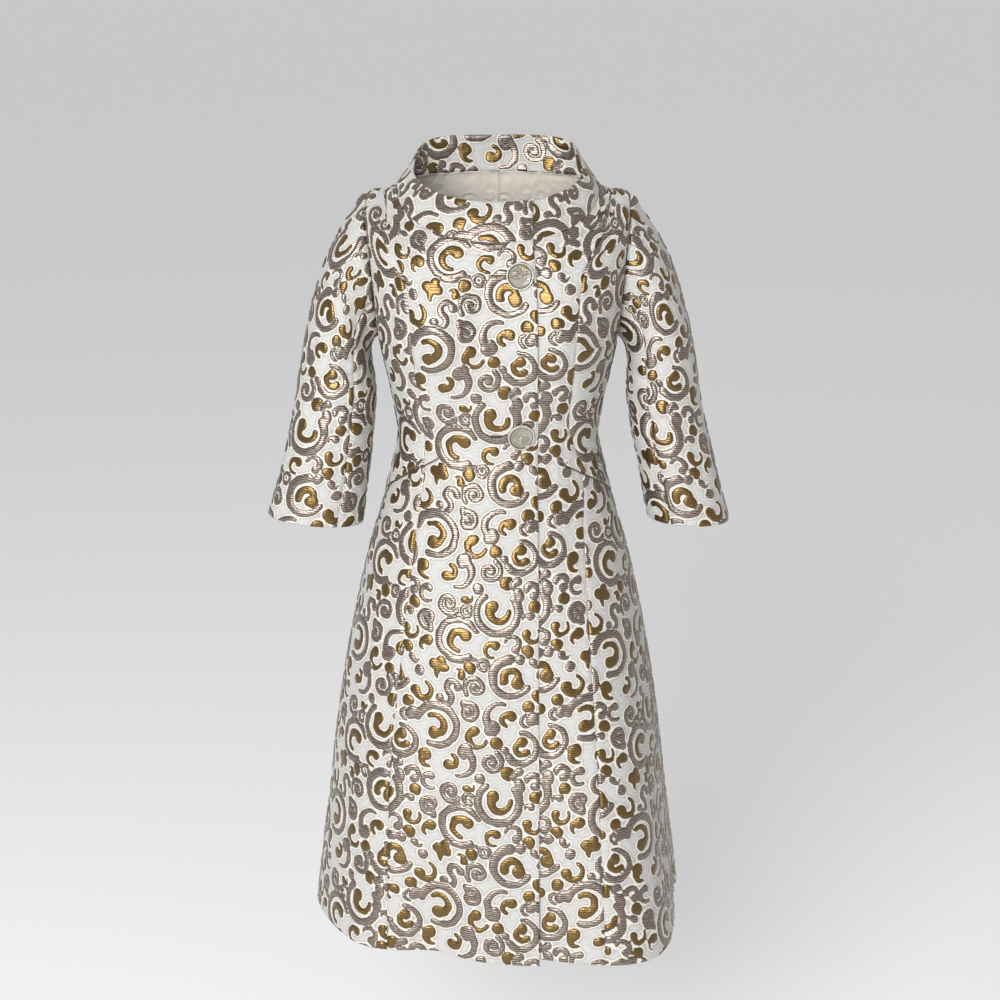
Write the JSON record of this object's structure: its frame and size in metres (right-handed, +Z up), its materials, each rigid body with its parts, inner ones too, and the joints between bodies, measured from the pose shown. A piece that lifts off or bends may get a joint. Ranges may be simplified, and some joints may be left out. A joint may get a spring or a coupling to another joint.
{
  "type": "coat",
  "caption": "Collared princess-line coat in ivory brocade with raised scroll motifs, three-quarter sleeves and clear buttons, standing open as worn.",
  "frame": {"origin": "middle of the line between the two high shoulder points, inside the neck opening, where the coat hangs from the wearer or a hanger", "axes": "+Z up, +Y towards the back, +X towards the wearer's left"},
  "size_m": [0.6555, 0.4409, 1.1258],
  "materials": {
    "brocade": "raised woven brocade, ivory ground with taupe and gold-brown metallic scroll motifs",
    "clear_button": "clear, smooth",
    "thread": "matt sewing thread"
  },
  "bodies": {
    "root": {"front_right": "brocade", "front_left": "brocade", "side_front_upper_right": "brocade", "side_front_upper_left": "brocade", "side_front_lower_right": "brocade", "side_front_lower_left": "brocade", "back_right": "brocade", "back_left": "brocade", "sleeve_upper_right": "brocade", "sleeve_upper_left": "brocade", "sleeve_under_right": "brocade", "sleeve_under_left": "brocade", "collar": "brocade", "collar_facing": "brocade", "button_upper": "clear_button", "button_lower": "clear_button", "button_thread_upper": "thread", "button_thread_lower": "thread"}
  },
  "joints": []
}
